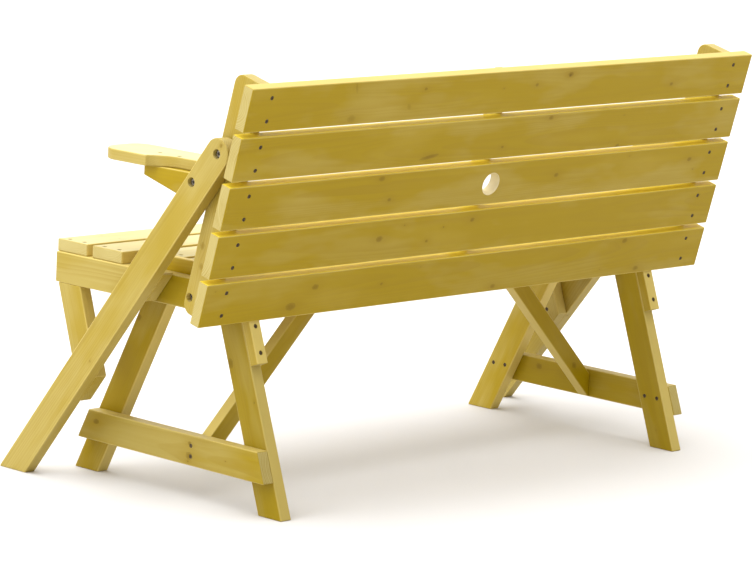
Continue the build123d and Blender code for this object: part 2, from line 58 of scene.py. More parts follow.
def rgb(red: float, green: float, blue: float) -> Colour:
    """An opaque linear colour."""
    return (red, green, blue, 1.0)


def lean(degrees: float) -> Vector:
    """Unit vector that leans back from +Z by some degrees towards +Y."""
    angle = math.radians(degrees)
    return Vector((0.0, math.sin(angle), math.cos(angle)))


def put_on(node: str, material: bpy.types.Material) -> None:
    """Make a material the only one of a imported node.

    Args:
        node: the node's name.
        material: its material.
    """
    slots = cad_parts[node].data.materials
    slots.clear()
    slots.append(material)


def placed(name: str, data: bpy.types.ID) -> bpy.types.Object:
    """A new object in the scene that shows the data."""
    item = bpy.data.objects.new(name, data)
    bpy.context.scene.collection.objects.link(item)
    return item


# --- node graphs ---
def _operator(operation: str, swapped: bool = False) -> Callable[..., "Signal"]:
    """Make the method behind an operator.

    Args:
        operation: the Math node's operation.
        swapped: whether the plain number comes first.

    Returns:
        A method that adds the node.
    """
    def method(self: "Signal", *others: Number) -> "Signal":
        """The operation's result."""
        values = (*others, self) if swapped else (self, *others)
        return self.graph.math(operation, *values)
    return method


class Signal:
    """A socket whose arithmetic adds Math nodes to its graph."""

    def __init__(self, graph: "Graph", socket: bpy.types.NodeSocket) -> None:
        """Wrap a socket of a graph."""
        self.graph = graph
        self.socket = socket

    __add__ = __radd__ = _operator("ADD")
    __sub__, __rsub__ = _operator("SUBTRACT"), _operator("SUBTRACT", swapped=True)
    __mul__ = _operator("MULTIPLY")
    __truediv__ = _operator("DIVIDE")
    __lt__ = _operator("LESS_THAN")
    __abs__ = _operator("ABSOLUTE")
    greater_of = _operator("MAXIMUM")
    exp = _operator("EXPONENT")
    sin = _operator("SINE")
    cos = _operator("COSINE")
    root = _operator("SQRT")
    fraction = _operator("FRACT")

    def __neg__(self) -> "Signal":
        """The same size with the other sign."""
        return 0.0 - self

    def step(self, low: float, high: float) -> "Signal":
        """Smooth rise from zero at low to one at high, or a fall where low is the greater.

        Args:
            low: value that gives zero.
            high: value that gives one.

        Returns:
            The smooth step.
        """
        return self.graph.node("ShaderNodeMapRange", {
            "Value": self, "From Min": low, "From Max": high}, interpolation_type="SMOOTHSTEP")


class Graph:
    """A node tree and the one way its nodes are made."""

    def __init__(self, tree: bpy.types.NodeTree) -> None:
        """Take over a tree."""
        self.tree = tree

    def node(self, kind: str, inputs: Optional[dict] = None, output: Union[int, str] = 0,
             **settings: Union[str, bool]) -> Signal:
        """Make a node, set it up and fill its sockets.

        Args:
            kind: the node's type.
            inputs: a value, a Signal or a list of Signals for each socket name or number.
            output: name or number of the wanted output.
            settings: the node's own properties, set before its sockets.

        Returns:
            The wanted output.
        """
        node = self.tree.nodes.new(kind)
        for name, value in settings.items():
            setattr(node, name, value)
        for name, value in (inputs or {}).items():
            socket = node.inputs[name]
            for item in value if isinstance(value, list) else [value]:
                if isinstance(item, Signal):
                    self.tree.links.new(item.socket, socket)
                else:
                    socket.default_value = item
        return Signal(self, node.outputs[output])

    def math(self, operation: str, *values: Number) -> Signal:
        """Add a Math node."""
        return self.node("ShaderNodeMath", dict(enumerate(values)), operation=operation)

    def vector(self, x: Number = 0.0, y: Number = 0.0, z: Number = 0.0) -> Signal:
        """Join three numbers into a vector."""
        return self.node("ShaderNodeCombineXYZ", {"X": x, "Y": y, "Z": z})

    def dot(self, vector: Signal, direction: Sequence[float]) -> Signal:
        """How far a vector reaches along a fixed direction."""
        return self.node("ShaderNodeVectorMath", {
            0: vector, 1: tuple(direction)}, output="Value", operation="DOT_PRODUCT")

    def noise(self, vector: Signal, scale: float = 1.0, detail: float = 2.0,
              roughness: float = 0.5) -> Signal:
        """Cloudy noise about one half."""
        return self.node("ShaderNodeTexNoise", {
            "Vector": vector, "Scale": scale, "Detail": detail, "Roughness": roughness},
            output="Fac")

    def end(self, kind: str, result: Signal) -> None:
        """Send the graph's result to a new output node."""
        target = self.tree.nodes.new(kind)
        self.tree.links.new(result.socket, target.inputs[0])


class Paint(Graph):
    """A material's graph."""

    def __init__(self, name: str) -> None:
        """Start an empty material."""
        self.material = bpy.data.materials.new(name)
        self.material.use_nodes = True
        super().__init__(self.material.node_tree)
        self.tree.nodes.clear()

    def place(self, output: str = "Object") -> Signal:
        """The shaded point, or with Normal its face's direction, in the object's own frame."""
        return self.node("ShaderNodeTexCoord", output=output)

    def blend(self, amount: Number, first: Union[Colour, Signal], second: Union[Colour, Signal],
              how: str = "MIX") -> Signal:
        """Mix two colours.

        Args:
            amount: share of the second.
            first: colour under it.
            second: colour over it.
            how: blend type.

        Returns:
            The mixed colour.
        """
        return self.node("ShaderNodeMix", {
            0: amount, 6: first, 7: second}, output=2, data_type="RGBA", blend_type=how,
            clamp_factor=True)

    def finish(self, varying: Dict[str, Signal], height: Optional[Signal], relief: float = 1.0,
               **fixed: float) -> bpy.types.Material:
        """Close the graph with a Principled shader.

        Args:
            varying: sockets that change over the surface.
            height: surface relief in metres, or None.
            relief: strength of the relief.
            fixed: sockets that are the same all over, with underscores for spaces.

        Returns:
            The material.
        """
        inputs: dict = dict(varying)
        inputs.update({name.replace("_", " "): value for name, value in fixed.items()})
        if height is not None:
            inputs["Normal"] = self.node("ShaderNodeBump", {
                "Strength": relief, "Distance": 1.0, "Height": height})
        self.end("ShaderNodeOutputMaterial", self.node("ShaderNodeBsdfPrincipled", inputs))
        return self.material


# --- timber ---
class Cut(Enum):
    """Where a board lay in its log: the pith's distance in metres and its side."""

    FLAT = ((0.035, 0.075), (-0.45, 0.45))
    RIFT = ((0.035, 0.080), (0.6, 1.0))
    QUARTER = ((0.030, 0.070), (1.3, 1.8))


@dataclass(frozen=True)
class Figure:
    """Cloudy noise that is drawn out along the grain: its repeats in a metre each way."""

    along: float
    across: float
    through: float
    detail: float = 2.0
    roughness: float = 0.5

    def draw(self, point: Signal, shift: Sequence[float] = (0.0, 0.0, 0.0)) -> Signal:
        """Sample the noise at a point, where the board's middle is at the shift."""
        drawn = point.graph.node("ShaderNodeVectorMath", {
            0: point, 1: (self.along, self.across, self.through), 2: tuple(shift)},
            operation="MULTIPLY_ADD")
        return point.graph.noise(drawn, detail=self.detail, roughness=self.roughness)


@dataclass(frozen=True)
class Board:
    """A board of the bench and its timber.

    Along and through are its grain and its thickness. Cut and seed choose the log. Tone makes
    the board lighter or darker, stain deeper in colour; on boards that stand in shade both also
    paint that shade. Top light is painted light that makes its upper face paler. Edge light is
    painted light on its long edges, brighter and warmer where they are lit in gaps. Bore is the
    radius of the hole in its middle, knots the share of places with a scattered knot, marks its
    placed knots.
    """

    node: str
    along: Vector
    through: Vector
    cut: Cut
    seed: int
    tone: float = 1.0
    stain: float = 0.25
    top_light: float = 0.0
    edge: float = 0.6
    lit_in_gaps: bool = False
    bore: float = 0.0
    knots: float = 0.3
    marks: Tuple["Knot", ...] = ()

    def axes(self) -> Tuple[Vector, Vector, Vector]:
        """Directions along, across and through the board."""
        along = self.along.normalized()
        through = self.through.normalized()
        return along, through.cross(along).normalized(), through

    def spans(self) -> Tuple[Vector, Tuple[float, float, float]]:
        """The board's middle and half sizes along its own axes."""
        points = [vertex.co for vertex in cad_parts[self.node].data.vertices]
        middle = Vector((0.0, 0.0, 0.0))
        halves = []
        for axis in self.axes():
            reach = [point.dot(axis) for point in points]
            middle += axis * (min(reach) + max(reach)) / 2
            halves.append((max(reach) - min(reach)) / 2)
        return middle, tuple(halves)


@dataclass(frozen=True)
class Place:
    """The shaded point in a board's own frame, and its distances along, across and through."""

    point: Signal
    length: Signal
    width: Signal
    depth: Signal


@dataclass(frozen=True)
class Spot:
    """What knots do at a point: masks of heart, rim and halo, and the bend of the grain."""

    heart: Signal
    rim: Signal
    halo: Signal
    pull: Signal

    def __add__(self, other: "Spot") -> "Spot":
        """Both at once."""
        return Spot(self.heart + other.heart, self.rim + other.rim, self.halo + other.halo,
                    self.pull + other.pull)


SWIRL = (26.0, 7.0)     # reach of the bent grain along and across, in a knot's area
BEND = 0.85
RIM_RISE = (0.72, 0.98)


def spot(offset: Tuple[Signal, Signal], turn: Tuple[Number, Number], longer: Number,
         size: Number, wobble: Signal, edges: Tuple[Tuple[float, float], Tuple[float, float]],
         strength: Tuple[Number, Number]) -> Spot:
    """Draw a knot with grain that goes round it.

    Args:
        offset: how far the point is from the knot's middle, along and across the board.
        turn: cosine and sine of the knot's turn.
        longer: its length over its width.
        size: its radius.
        wobble: how far its outline strays.
        edges: where its heart and its rim fade out, in radii.
        strength: how dark its heart and its rim are.

    Returns:
        What the knot does at the point.
    """
    (along, beside), (cos, sin) = offset, turn
    first = (along * cos + beside * sin) / longer
    second = beside * cos - along * sin
    share = ((first * first + second * second).root() + wobble) / size
    area = size * size
    swirl = along * along / (area * SWIRL[0]) + beside * beside / (area * SWIRL[1])
    fade = (-swirl).exp() * strength[0]
    return Spot(heart=share.step(*edges[0]) * strength[0],
                rim=share.step(*RIM_RISE) * share.step(*edges[1]) * strength[1],
                halo=fade, pull=beside * fade * BEND)


@dataclass(frozen=True)
class Knot:
    """One knot or streak at a chosen place, in metres from the board's middle."""

    along: float
    across: float
    radius: float
    longer: float = 1.3
    turn: float = 0.0
    dark: float = 1.0
    slant: float = 0.2
    wobble: Figure = Figure(300.0, 300.0, 90.0, detail=1.0)

    def lay(self, at: Place) -> Spot:
        """What the knot does at the shaded point."""
        wobble = (self.wobble.draw(at.point) - 0.5) * (self.radius * 0.6)
        return spot((at.length - self.along, at.width + at.depth * self.slant - self.across),
                    (math.cos(self.turn), math.sin(self.turn)), self.longer, self.radius, wobble,
                    ((1.25, 0.45), (1.30, 1.02)), (self.dark, self.dark * 0.5))


@dataclass(frozen=True)
class Knots:
    """Knots scattered over a board's face and running through its thickness."""

    cell: Tuple[float, float]
    radius: Tuple[float, float]
    share: float
    shift: Sequence[float]
    stretch: Tuple[float, float]
    slant: float = 0.35
    turn: float = 2.2
    wobble: Figure = Figure(260.0, 260.0, 120.0, detail=1.0)
    wobble_reach: float = 0.0022

    def lay(self, at: Place) -> Spot:
        """Draw the field of knots.

        Args:
            at: the shaded point.

        Returns:
            What the knots do there.
        """
        paint = at.point.graph
        across = at.length / self.cell[0] + self.shift[0]
        up = (at.width + at.depth * self.slant) / self.cell[1] + self.shift[1]
        where = {"Vector": paint.vector(across, up), "Scale": 1.0, "Randomness": 0.85}
        centre, traits = (
            paint.node("ShaderNodeTexVoronoi", where, name, voronoi_dimensions="2D", feature="F1")
            for name in ("Position", "Color"))
        middle = [paint.node("ShaderNodeSeparateXYZ", {0: centre}, name) for name in "XY"]
        one, two, three = (paint.node("ShaderNodeSeparateColor", {"Color": traits}, name)
                           for name in ("Red", "Green", "Blue"))
        there = one < self.share
        size = two * (self.radius[1] - self.radius[0]) + self.radius[0]
        longer = two * three * (self.stretch[1] - self.stretch[0]) + self.stretch[0]
        turn = (three - 0.5) * self.turn
        wobble = (self.wobble.draw(at.point) - 0.5) * self.wobble_reach
        return spot(((across - middle[0]) * self.cell[0], (up - middle[1]) * self.cell[1]),
                    (turn.cos(), turn.sin()), longer, size, wobble,
                    ((1.08, 0.62), (1.26, 1.02)), (there, there * (0.35 + three * 0.65)))


@dataclass(frozen=True)
class StainedPine:
    """Planed pine under a clear yellow stain, rebuilt for each board from its seed.

    Each layer is a mask, its share and its colour. Relief is how far a mask stands out of the
    surface in metres, and matt how much rougher it is.
    """

    early: Colour = rgb(0.45, 0.345, 0.088)
    deep: Colour = rgb(0.370, 0.250, 0.002)
    late: Colour = rgb(0.30, 0.185, 0.004)
    # Painted light: the paler colour of upper faces that the light from above brightens.
    painted_top_light: Colour = rgb(0.80, 0.74, 0.42)
    knot: Colour = rgb(0.185, 0.108, 0.001)
    bark: Colour = rgb(0.082, 0.045, 0.001)
    # Paler wood of wear on grey patches and arrises, also used as painted light on arrises and
    # long edges.
    wear_and_highlight: Colour = rgb(0.68, 0.53, 0.16)
    # Painted light: the bright warm colour of slat edges that are lit in the gaps between slats.
    gap_edge_light: Colour = rgb(0.82, 0.635, 0.055)
    end_grain: Colour = rgb(0.50, 0.41, 0.155)
    # A paler colour painted on the wall of a bored hole.
    pale_bore_wall: Colour = rgb(0.70, 0.60, 0.36)

    wander: Figure = Figure(1.7, 7.0, 7.0)
    pace: Figure = Figure(120.0, 0.0, 0.0, detail=1.0)
    strength: Figure = Figure(2.4, 16.0, 16.0)
    fibre: Figure = Figure(14.0, 900.0, 900.0, 3.0, 0.65)
    streak: Figure = Figure(3.0, 130.0, 130.0)
    cloud: Figure = Figure(5.0, 15.0, 15.0, 3.0)
    pool: Figure = Figure(3.2, 11.0, 11.0, 3.0, 0.6)

    wander_reach: float = 0.016
    taper: Tuple[float, float] = (0.006, 0.022)
    sweep: float = 0.012
    ring_pitch: float = 0.0036
    ring_sway: float = 2.2
    ripple_pitch: float = 0.0052
    pool_spread: float = 0.75
    end_share: float = 0.85
    bore_share: float = 0.9
    arris_reach: Tuple[float, float] = (0.0030, 0.0008)
    bore_reach: Tuple[float, float] = (0.0012, 0.0004)
    facing: Tuple[float, float] = (0.60, 0.92)

    # The arris layer is partly wear and partly a painted highlight on the rounded edges.
    layers: Tuple[Tuple[str, float, Colour], ...] = (
        ("ring", 0.34, late), ("streak", 1.0, late), ("fibre grain", 0.14, late),
        ("grey", 0.10, wear_and_highlight), ("halo", 0.40, late), ("heart", 0.60, knot), ("rim", 0.38, bark),
        ("arris", 0.55, wear_and_highlight))
    relief: Tuple[Tuple[str, float], ...] = (
        ("fibre", 0.00006), ("ring", 0.00007), ("heart", 0.00018), ("rim", -0.00022),
        ("cloud", 0.0002), ("ripple", 0.0000022))
    matt: Tuple[Tuple[str, float], ...] = (
        ("fibre", 0.14), ("ring", -0.06), ("heart", 0.05), ("ends", 0.18), ("cloud", -0.08))
    plain_roughness: float = 0.42

    def knots(self, board: Board, at: Place, shift: Sequence[float]) -> Spot:
        """Draw a board's placed knots, its large scattered ones and its pin knots.

        Args:
            board: the board.
            at: the shaded point.
            shift: the board's random shifts.

        Returns:
            What they all do at the point.
        """
        large = Knots(cell=(0.27, 0.085), radius=(0.0026, 0.0062), share=board.knots,
                      shift=shift[0:2], stretch=(1.0, 2.6))
        small = Knots(cell=(0.105, 0.043), radius=(0.0009, 0.0018), share=board.knots * 0.55,
                      shift=shift[2:4], stretch=(1.0, 1.6))
        return sum((mark.lay(at) for mark in board.marks), large.lay(at) + small.lay(at))

    def pith(self, cut: Cut, chance: random.Random) -> Tuple[float, float, float, float]:
        """Where the log's pith runs beside the board.

        Args:
            cut: how the board was sawn.
            chance: the board's own dice.

        Returns:
            Its distance across and through the board at the middle, and how much each grows
            in a metre of length.
        """
        (near, far), (low, high) = cut.value
        distance = chance.uniform(near, far)
        angle = chance.uniform(low, high) * chance.choice((-1.0, 1.0))
        face = chance.choice((-1.0, 1.0))
        taper = chance.uniform(*self.taper) * chance.choice((-1.0, 1.0))
        sweep = chance.uniform(-self.sweep, self.sweep)
        return distance * math.sin(angle), distance * math.cos(angle) * face, sweep, taper

    def dress(self, board: Board) -> bpy.types.Material:
        """Make the timber of one board and put it on the board's node.

        Args:
            board: which node, and how its timber lies.

        Returns:
            The material.
        """
        chance = random.Random(board.seed)
        paint = Paint(f"stained_pine_{board.node}")
        middle, (_, half_width, half_depth) = board.spans()
        local = paint.node("ShaderNodeVectorMath", {
            0: paint.place(), 1: tuple(middle)}, operation="SUBTRACT")
        length, width, depth = (paint.dot(local, axis) for axis in board.axes())
        place = paint.vector(length, width, depth)
        shift = [chance.uniform(-40.0, 40.0) for _ in range(6)]
        knots = self.knots(board, Place(place, length, width, depth), shift)
        bent = width - knots.pull
        grain = paint.vector(length, bent, depth)

        pith_width, pith_depth, sweep, taper = self.pith(board.cut, chance)
        wander = (self.wander.draw(place, (shift[4], 0.0, shift[5])) - 0.5) * self.wander_reach
        off_width = bent - pith_width - length * sweep
        off_depth = depth - pith_depth - length * taper
        radius = (off_width * off_width + off_depth * off_depth).root() + wander
        pace = self.pace.draw(paint.vector(radius), (0.0, *shift[0:2]))
        phase = (radius / self.ring_pitch + pace * self.ring_sway).fraction()
        strength = self.strength.draw(place, (0.0, shift[2], 0.0)).step(0.30, 0.72)
        ring = phase.step(0.25, 0.93) * phase.step(1.0, 0.95) * (strength * 0.75 + 0.25)

        fibre = self.fibre.draw(grain, (shift[3], 0.0, 0.0))
        streak = self.streak.draw(grain, (shift[1], 0.0, 0.0))
        cloud = self.cloud.draw(place, (shift[2], 0.0, 0.0))
        pool = self.pool.draw(place, (shift[5], 0.0, 0.0)).step(0.36, 0.64)
        towards = [paint.dot(paint.place("Normal"), axis) for axis in board.axes()]
        inside = (half_width - abs(width)).greater_of(half_depth - abs(depth))
        masks = {"ring": ring, "streak": (streak - 0.5) * 0.4 + 0.10, "fibre": fibre,
                 "fibre grain": fibre.step(0.58, 0.80), "cloud": cloud,
                 "grey": cloud.step(0.45, 0.80), "halo": knots.halo, "heart": knots.heart,
                 "rim": knots.rim, "ends": abs(towards[0]).step(0.80, 0.97),
                 "arris": inside.step(*self.arris_reach) * (cloud.step(0.25, 0.60) * 0.6 + 0.4),
                 "ripple": (length * (2.0 * math.pi / self.ripple_pitch)).sin()}

        # Stain deepens the colour; its higher values on boards in shade are painted shade.
        colour = paint.blend((pool - 0.5) * self.pool_spread + (1.0 - board.stain),
                             self.deep, self.early)
        for name, share, tint in self.layers:
            colour = paint.blend(masks[name] * share, colour, tint)
        # Painted light on the long edges: paler, and brighter and warmer on slat edges lit in the
        # gaps.
        colour = paint.blend(abs(towards[1]).step(*self.facing) * (cloud * 0.20 + board.edge),
                             colour, self.gap_edge_light if board.lit_in_gaps else self.wear_and_highlight)
        # Painted light on the upper faces, standing in for the light from above.
        if board.top_light:
            pale = towards[2].step(*self.facing) * (board.top_light + (cloud - 0.5) * 0.3)
            colour = paint.blend(pale, colour, self.painted_top_light)
        colour = paint.blend(masks["ends"] * self.end_share, colour,
                             paint.blend(ring * 0.6, self.end_grain, self.late))
        # The wall of the hole is painted paler.
        if board.bore:
            wall = (length * length + width * width).root() - board.bore
            colour = paint.blend(wall.step(*self.bore_reach) * self.bore_share, colour, self.pale_bore_wall)
        # Tone lightens and darkens whole boards: it paints the shade that some boards stand in and
        # the light that falls on others.
        colour = paint.blend(1.0, colour, rgb(board.tone, board.tone, board.tone), "MULTIPLY")

        height = sum((masks[name] * rise for name, rise in self.relief), 0.0)
        rough = sum((masks[name] * more for name, more in self.matt), self.plain_roughness)
        material = paint.finish({"Base Color": colour, "Roughness": rough}, height, 0.55,
                                Specular_IOR_Level=0.13, Coat_Weight=0.03, Coat_Roughness=0.30)
        put_on(board.node, material)
        return material


# --- metal and plastic ---
@dataclass(frozen=True)
class Plating:
    """Plated steel with a cloudy skin."""

    name: str
    bright: Colour
    dull: Colour
    metallic: float = 1.0
    rough: Tuple[float, float] = (0.26, 0.46)
    cloud_scale: float = 420.0
    speck_scale: float = 2600.0

    def make(self) -> bpy.types.Material:
        """Build the plating's material."""
        paint = Paint(self.name)
        place = paint.place()
        cloud = paint.noise(place, scale=self.cloud_scale, detail=3.0)
        speck = paint.noise(place, scale=self.speck_scale)
        mask = cloud.step(0.35, 0.70)
        colour = paint.blend(mask, self.bright, self.dull)
        rough = mask * (self.rough[1] - self.rough[0]) + speck * 0.08 + self.rough[0]
        return paint.finish({"Base Color": colour, "Roughness": rough},
                            cloud * 0.00003 + speck * 0.00001, 0.5, Metallic=self.metallic)


@dataclass(frozen=True)
class Nylon:
    """Moulded black nylon."""

    colour: Colour = rgb(0.022, 0.022, 0.024)
    rubbed: Colour = rgb(0.045, 0.045, 0.047)
    grain_scale: float = 1500.0

    def make(self) -> bpy.types.Material:
        """Build the nylon's material."""
        paint = Paint("moulded_nylon")
        grain = paint.noise(paint.place(), scale=self.grain_scale, detail=3.0)
        colour = paint.blend(grain.step(0.4, 0.8) * 0.5, self.colour, self.rubbed)
        return paint.finish({"Base Color": colour, "Roughness": grain * 0.2 + 0.42},
                            grain * 0.00003, 0.6)


# --- fasteners ---
WELD = 1e6              # vertices this finely alike, in parts of a metre, are one
SAME_PLANE = 1e-5
OVERLAP = 0.001         # how far a cutting solid stands past what it cuts
SHORT_SCREW = 0.042
LONG_SCREW = 0.080
LONG_FROM = 0.06        # screws that reach farther are long ones
BOLT_HEAD = 0.0055


@dataclass(frozen=True)
class Seat:
    """Where a fastener sits: its outer end and the way that end faces."""

    point: Vector
    facing: Vector


class Solids:
    """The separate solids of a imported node."""

    def __init__(self, node: str) -> None:
        """Split a node's mesh into its solids."""
        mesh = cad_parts[node].data
        keys: Dict[Tuple[int, int, int], int] = {}
        welded = []
        for vertex in mesh.vertices:
            key = tuple(round(value * WELD) for value in vertex.co)
            welded.append(keys.setdefault(key, len(keys)))
        parent = list(range(len(keys)))

        def top(item: int) -> int:
            """Root of an item's tree."""
            while parent[item] != item:
                parent[item] = parent[parent[item]]
                item = parent[item]
            return item

        for polygon in mesh.polygons:
            first = top(welded[polygon.vertices[0]])
            for corner in polygon.vertices[1:]:
                parent[top(welded[corner])] = first
        groups: Dict[int, List[Vector]] = {}
        for key, index in keys.items():
            groups.setdefault(top(index), []).append(Vector(key) / WELD)
        self.groups = [group for _, group in sorted(groups.items())]

    def seats(self) -> List[Seat]:
        """Seats of headed fasteners: the head's outer end, facing out of it."""
        found = []
        for group in self.groups:
            points = np.array(group)
            middle = (points.min(axis=0) + points.max(axis=0)) / 2
            axis = np.linalg.svd(points - points.mean(axis=0), full_matrices=False)[2][0]
            reach = (points - middle) @ axis
            spread = np.linalg.norm((points - middle) - np.outer(reach, axis), axis=1)
            if reach[spread.argmax()] <= (reach.max() + reach.min()) / 2:
                axis, reach = -axis, -reach
            face = points[reach.max() - reach < SAME_PLANE]
            found.append(Seat(Vector((face.min(axis=0) + face.max(axis=0)) / 2), Vector(axis)))
        return found

    def middles(self) -> List[Seat]:
        """Middles of nuts and washers on a bolt along X, facing away from the bench's middle."""
        found = []
        for group in self.groups:
            points = np.array(group)
            middle = Vector((points.min(axis=0) + points.max(axis=0)) / 2)
            found.append(Seat(middle, X * math.copysign(1.0, middle.x)))
        return found


class Jig(Graph):
    """A Geometry Nodes tree that sets one fastener on every seat it is given."""

    def __init__(self, name: str, sizes: Dict[str, float]) -> None:
        """Start a tree.

        Args:
            name: the tree's name.
            sizes: its named inputs and their values, in metres.
        """
        super().__init__(bpy.data.node_groups.new(name, "GeometryNodeTree"))
        self.sizes = sizes
        face = self.tree.interface
        for given, kind in (("Seats", "Geometry"), *((size, "Float") for size in sizes),
                            ("Seed", "Int"), ("Finish", "Material")):
            face.new_socket(given, in_out="INPUT", socket_type="NodeSocket" + kind)
        face.new_socket("Fasteners", in_out="OUTPUT", socket_type="NodeSocketGeometry")
        self.given = self.tree.nodes.new("NodeGroupInput")

    def __getitem__(self, name: str) -> Signal:
        """A named input."""
        return Signal(self, self.given.outputs[name])

    def moved(self, solid: Signal, z: Number, turned: Number = 0.0) -> Signal:
        """A solid lifted along Z and turned about it."""
        return self.node("GeometryNodeTransform", {
            "Geometry": solid, "Translation": self.vector(z=z), "Rotation": self.vector(z=turned)})

    def rod(self, radius: Number, low: Number, high: Number, sides: int = 32) -> Signal:
        """A cylinder, or a prism, between two heights."""
        span = high - low
        solid = self.node("GeometryNodeMeshCylinder", {
            "Vertices": sides, "Radius": radius, "Depth": span})
        return self.moved(solid, low + span / 2)

    def cone(self, bottom: Number, top: Number, low: Number, high: Number) -> Signal:
        """A blunt cone between two heights."""
        solid = self.node("GeometryNodeMeshCone", {
            "Vertices": 32, "Radius Top": top, "Radius Bottom": bottom, "Depth": high - low})
        return self.moved(solid, low)

    def cut(self, operation: str, first: Signal, *others: Signal) -> Signal:
        """Carve or trim solids, or make them one.

        Args:
            operation: UNION, DIFFERENCE or INTERSECT.
            first: the solid that is worked on.
            others: the solids it is worked with.

        Returns:
            The new solid.
        """
        inputs = {"Mesh 2": [first, *others]}
        if operation == "DIFFERENCE":
            inputs = {"Mesh 1": first, "Mesh 2": list(others)}
        return self.node("GeometryNodeMeshBoolean", inputs, operation=operation, solver="EXACT")

    def threaded(self, radius: Number, low: Number, high: Number, pitch: float, groove: float,
                 rings: int = 48, sides: int = 20) -> Signal:
        """A rod with thread grooves between two heights.

        Args:
            radius: over the threads.
            low: its lower end.
            high: its upper end.
            pitch: from groove to groove.
            groove: their depth.
            rings: rings of points along it.
            sides: points in a ring.

        Returns:
            The threaded rod.
        """
        line = self.node("GeometryNodeCurvePrimitiveLine", {
            "Start": self.vector(z=high), "End": self.vector(z=low)})
        points = self.node("GeometryNodeResampleCurve", {"Curve": line, "Count": rings})
        height = self.dot(self.node("GeometryNodeInputPosition"), Z)
        wave = (height * (2.0 * math.pi / pitch)).sin() * 0.5 + 0.5
        ring = self.node("GeometryNodeCurvePrimitiveCircle", {"Resolution": sides, "Radius": 1.0})
        return self.node("GeometryNodeCurveToMesh", {
            "Curve": points, "Profile Curve": ring, "Fill Caps": True,
            "Scale": radius - wave * groove})

    def close(self, fastener: Signal) -> None:
        """Set the fastener on every seat, turned at random about its axis."""
        facing = self.node("GeometryNodeInputNamedAttribute", {"Name": "facing"},
                           data_type="FLOAT_VECTOR")
        upright = self.node("FunctionNodeAlignRotationToVector", {"Vector": facing}, axis="Z")
        set_up = self.node("GeometryNodeInstanceOnPoints", {
            "Points": self["Seats"], "Instance": fastener, "Rotation": upright})
        turn = self.node("FunctionNodeRandomValue", {
            2: 0.0, 3: 2.0 * math.pi, "Seed": self["Seed"]}, output=1, data_type="FLOAT")
        turned = self.node("GeometryNodeRotateInstances", {
            "Instances": set_up, "Rotation": self.vector(z=turn), "Local Space": True})
        solid = self.node("GeometryNodeRealizeInstances", {"Geometry": turned})
        finished = self.node("GeometryNodeSetMaterial", {
            "Geometry": solid, "Material": self["Finish"]})
        self.end("NodeGroupOutput", finished)

    def run(self, name: str, seats: Sequence[Seat], finish: bpy.types.Material,
            seed: int) -> bpy.types.Object:
        """Make one plain mesh of a fastener on every seat.

        Args:
            name: the piece's name.
            seats: where the fasteners go.
            finish: their material.
            seed: fixes their turns.

        Returns:
            The finished piece, at the origin.
        """
        mesh = bpy.data.meshes.new(name + "_seats")
        mesh.from_pydata([tuple(seat.point) for seat in seats], [], [])
        facing = mesh.attributes.new("facing", "FLOAT_VECTOR", "POINT")
        for index, seat in enumerate(seats):
            facing.data[index].vector = seat.facing
        holder = placed(name + "_seats", mesh)
        modifier = holder.modifiers.new("jig", "NODES")
        modifier.node_group = self.tree
        values = {**self.sizes, "Seed": seed, "Finish": finish}
        for item in self.tree.interface.items_tree:
            if item.in_out == "INPUT" and item.name in values:
                modifier[item.identifier] = values[item.name]
        graph = bpy.context.evaluated_depsgraph_get()
        made = bpy.data.meshes.new_from_object(holder.evaluated_get(graph), depsgraph=graph)
        made.name = name
        piece = placed(name, made)
        bpy.data.objects.remove(holder)
        bpy.data.meshes.remove(mesh)
        made.shade_smooth()
        made.set_sharp_from_angle(angle=math.radians(32.0))
        return piece


def screw_jig(length: float) -> Jig:
    """Countersunk cross-head wood screws whose heads' tops are at their seats.

    Args:
        length: from the head's top to the tip.

    Returns:
        The tree.
    """
    jig = Jig("screws", {"Head Radius": 0.004, "Head Height": 0.0023, "Shank Radius": 0.0019,
                         "Length": length, "Cross Width": 0.0046, "Cross Slot": 0.0009,
                         "Cross Depth": 0.0014})
    shank, tall, end = jig["Shank Radius"], jig["Head Height"], -jig["Length"]
    point, point_length, lap = 0.0002, 0.0035, 0.0005
    head = jig.cone(shank, jig["Head Radius"], -tall, 0.0)
    rod = jig.rod(shank, end + (point_length - lap), -(tall * 0.6), sides=16)
    tip = jig.cone(point, shank * 0.98, end, end + point_length)
    solid = jig.cut("UNION", head, rod, tip)
    sides = jig.vector(jig["Cross Width"], jig["Cross Slot"], jig["Cross Depth"] * 2.0)
    bar = jig.node("GeometryNodeMeshCube", {"Size": sides})
    for turned in (0.0, math.pi / 2):
        solid = jig.cut("DIFFERENCE", solid, jig.moved(bar, 0.0, turned))
    jig.close(solid)
    return jig


